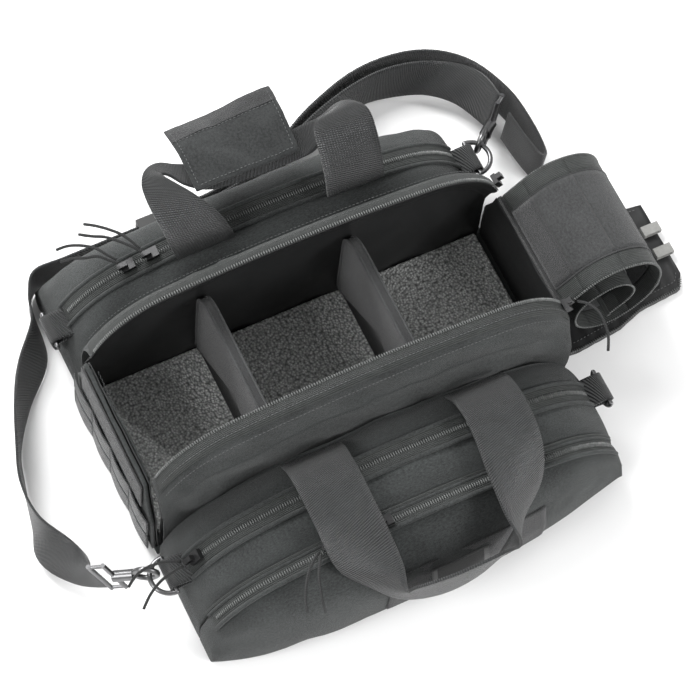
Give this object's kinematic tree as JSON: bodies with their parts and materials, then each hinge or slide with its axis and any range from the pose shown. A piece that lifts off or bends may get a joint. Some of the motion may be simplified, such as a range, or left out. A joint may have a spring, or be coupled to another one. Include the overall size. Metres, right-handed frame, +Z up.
{
  "type": "gear bag",
  "caption": "Soft zip-top gear bag with roll-back lid, outside pockets, padded dividers, grab handles and a shoulder strap.",
  "frame": {"origin": "middle of the main compartment's base, on the ground", "axes": "+X along the bag towards the lid's root, -Y towards the front pockets, +Z up"},
  "size_m": [0.5912, 0.4626, 0.1658],
  "materials": {
    "pack_cloth": "woven nylon, matt",
    "foam_pad": "pebbled foam",
    "loop_pile": "loop pile",
    "lining": "smooth lining",
    "divider_velour": "brushed velour",
    "label_weave": "woven label",
    "zip_tape": "zip tape and coil",
    "webbing": "woven nylon webbing",
    "keeper_band": "light elastic",
    "plated_steel": "plated",
    "slider_metal": "black enamel",
    "buckle_plastic": "moulded",
    "pull_cord": "braided cord"
  },
  "bodies": {
    "bag": {"base_panel": "pack_cloth", "floor_pad": "foam_pad", "front_wall": "pack_cloth", "rear_wall": "pack_cloth", "left_end_wall": "pack_cloth", "right_end_wall": "pack_cloth", "left_loop_strip": "loop_pile", "left_end_flap": "lining", "lid_root_strip": "loop_pile", "side_webbing": "webbing", "rear_pocket": "pack_cloth", "front_organizer": "pack_cloth", "outer_pocket": "pack_cloth", "loop_panel": "loop_pile", "woven_label": "label_weave", "rear_zip": "zip_tape", "organizer_zip": "zip_tape", "outer_zip": "zip_tape", "rim_zip_front": "zip_tape", "rim_zip_rear": "zip_tape", "ring_tabs": "webbing", "strap_rings": "plated_steel", "hook_front_left": "plated_steel", "hook_rear_right": "plated_steel", "shoulder_strap": "webbing", "strap_tail": "webbing", "rim_pulls": "slider_metal", "rim_cord": "pull_cord"},
    "lid_0": {"lid_panel_0": "pack_cloth"},
    "lid_1": {"lid_panel_1": "pack_cloth"},
    "lid_2": {"lid_panel_2": "pack_cloth"},
    "lid_3": {"lid_panel_3": "pack_cloth"},
    "lid_4": {"lid_panel_4": "pack_cloth"},
    "lid_5": {"lid_panel_5": "pack_cloth"},
    "lid_6": {"lid_panel_6": "pack_cloth"},
    "lid_7": {"lid_panel_7": "pack_cloth"},
    "lid_8": {"lid_panel_8": "pack_cloth"},
    "lid_9": {"lid_panel_9": "pack_cloth"},
    "end_flap": {"end_flap": "pack_cloth", "flap_grommets": "plated_steel", "flap_keepers": "keeper_band"},
    "front_handle": {"front_handle": "webbing"},
    "rear_handle": {"rear_handle": "webbing"},
    "handle_wrap": {"handle_wrap": "pack_cloth"},
    "ring_front_right": {"ring_front_right": "plated_steel"},
    "ring_rear_left": {"ring_rear_left": "plated_steel"},
    "strap_slider": {"strap_slider": "buckle_plastic"},
    "divider_left": {"divider_left": "divider_velour"},
    "divider_right": {"divider_right": "divider_velour"},
    "rear_pull_a": {"rear_pull_a": "slider_metal", "rear_cord_a": "pull_cord"},
    "rear_pull_b": {"rear_pull_b": "slider_metal", "rear_cord_b": "pull_cord"},
    "outer_pull_a": {"outer_pull_a": "slider_metal", "outer_cord_a": "pull_cord"},
    "outer_pull_b": {"outer_pull_b": "slider_metal", "outer_cord_b": "pull_cord"},
    "organizer_pull": {"organizer_pull": "slider_metal", "organizer_cord": "pull_cord"}
  },
  "joints": [
    {"name": "lid_close", "type": "hinge", "parent": "bag", "child": "lid_0", "pos_m": [0.182, 0, 0.097], "axis": [0, -1, 0], "range_deg": [0, 72.4]},
    {"name": "lid_fold_1", "type": "hinge", "parent": "lid_0", "child": "lid_1", "pos_m": [0.21173, 0, 0.12673], "axis": [0, -1, 0], "range_deg": [0, 87.5]},
    {"name": "lid_fold_2", "type": "hinge", "parent": "lid_1", "child": "lid_2", "pos_m": [0.25338, 0, 0.12088], "axis": [0, -1, 0], "range_deg": [0, 78.5]},
    {"name": "lid_fold_3", "type": "hinge", "parent": "lid_2", "child": "lid_3", "pos_m": [0.2744, 0, 0.08446], "axis": [0, -1, 0], "range_deg": [0, 44.6]},
    {"name": "lid_fold_4", "type": "hinge", "parent": "lid_3", "child": "lid_4", "pos_m": [0.26855, 0, 0.04282], "axis": [0, -1, 0], "range_deg": [0, 52.7]},
    {"name": "lid_fold_5", "type": "hinge", "parent": "lid_4", "child": "lid_5", "pos_m": [0.2341, 0, 0.01871], "axis": [0, -1, 0], "range_deg": [0, 70.6]},
    {"name": "lid_fold_6", "type": "hinge", "parent": "lid_5", "child": "lid_6", "pos_m": [0.19769, 0, 0.03973], "axis": [0, -1, 0], "range_deg": [0, 62.7]},
    {"name": "lid_fold_7", "type": "hinge", "parent": "lid_6", "child": "lid_7", "pos_m": [0.19548, 0, 0.08172], "axis": [0, -1, 0], "range_deg": [0, 74.6]},
    {"name": "lid_fold_8", "type": "hinge", "parent": "lid_7", "child": "lid_8", "pos_m": [0.23359, 0, 0.09949], "axis": [0, -1, 0], "range_deg": [0, 109.5]},
    {"name": "lid_fold_9", "type": "hinge", "parent": "lid_8", "child": "lid_9", "pos_m": [0.25588, 0, 0.06383], "axis": [0, -1, 0], "range_deg": [0, 116.5]},
    {"name": "end_flap_lift", "type": "hinge", "parent": "bag", "child": "end_flap", "pos_m": [0.1885, 0, 0.003], "axis": [0, -1, 0], "range_deg": [0, 10]},
    {"name": "front_handle_swing", "type": "hinge", "parent": "bag", "child": "front_handle", "pos_m": [0, -0.086, 0.102], "axis": [-1, 0, 0], "range_deg": [0, 32]},
    {"name": "rear_handle_swing", "type": "hinge", "parent": "bag", "child": "rear_handle", "pos_m": [0, 0.1, 0.117], "axis": [1, 0, 0], "range_deg": [0, 25]},
    {"name": "wrap_open", "type": "hinge", "parent": "rear_handle", "child": "handle_wrap", "pos_m": [0, 0.133, 0.1495], "axis": [1, 0, 0], "range_deg": [0, 70]},
    {"name": "ring_front_right_swing", "type": "hinge", "parent": "bag", "child": "ring_front_right", "pos_m": [0.19, -0.114, 0.054], "axis": [0, -1, 0], "range_deg": [0, 100]},
    {"name": "ring_rear_left_swing", "type": "hinge", "parent": "bag", "child": "ring_rear_left", "pos_m": [-0.19, 0.114, 0.054], "axis": [0, 1, 0], "range_deg": [0, 100]},
    {"name": "strap_slider_slide", "type": "slide", "parent": "bag", "child": "strap_slider", "axis": [1, 0, 0], "range_m": [-0.01, 0.01]},
    {"name": "divider_left_slide", "type": "slide", "parent": "bag", "child": "divider_left", "axis": [1, 0, 0], "range_m": [-0.03, 0.06]},
    {"name": "divider_right_slide", "type": "slide", "parent": "bag", "child": "divider_right", "axis": [1, 0, 0], "range_m": [-0.05, 0.03]},
    {"name": "rear_pull_a_run", "type": "hinge", "parent": "bag", "child": "rear_pull_a", "pos_m": [0, 0.119, -0.389], "axis": [0, 1, 0], "range_deg": [-0.71, 0.71]},
    {"name": "rear_pull_b_run", "type": "hinge", "parent": "bag", "child": "rear_pull_b", "pos_m": [0, 0.119, -0.389], "axis": [0, 1, 0], "range_deg": [0, 22.84]},
    {"name": "outer_pull_a_run", "type": "hinge", "parent": "bag", "child": "outer_pull_a", "pos_m": [0, -0.161, -0.397], "axis": [0, 1, 0], "range_deg": [0, 8.14]},
    {"name": "outer_pull_b_run", "type": "hinge", "parent": "bag", "child": "outer_pull_b", "pos_m": [0, -0.161, -0.397], "axis": [0, 1, 0], "range_deg": [-5.02, 0]},
    {"name": "organizer_pull_run", "type": "hinge", "parent": "bag", "child": "organizer_pull", "pos_m": [-0.105, -0.116, 0.01766], "axis": [0, 1, 0], "range_deg": [0, 34.11]}
  ],
  "couplings": [
    {"joint": "lid_fold_1", "follows": "lid_close", "ratio": 1.1671},
    {"joint": "lid_fold_2", "follows": "lid_close", "ratio": 1.0428},
    {"joint": "lid_fold_3", "follows": "lid_close", "ratio": 0.57459},
    {"joint": "lid_fold_4", "follows": "lid_close", "ratio": 0.68646},
    {"joint": "lid_fold_5", "follows": "lid_close", "ratio": 0.9337},
    {"joint": "lid_fold_6", "follows": "lid_close", "ratio": 0.82459},
    {"joint": "lid_fold_7", "follows": "lid_close", "ratio": 0.98895},
    {"joint": "lid_fold_8", "follows": "lid_close", "ratio": 1.471},
    {"joint": "lid_fold_9", "follows": "lid_close", "ratio": 1.5677}
  ]
}
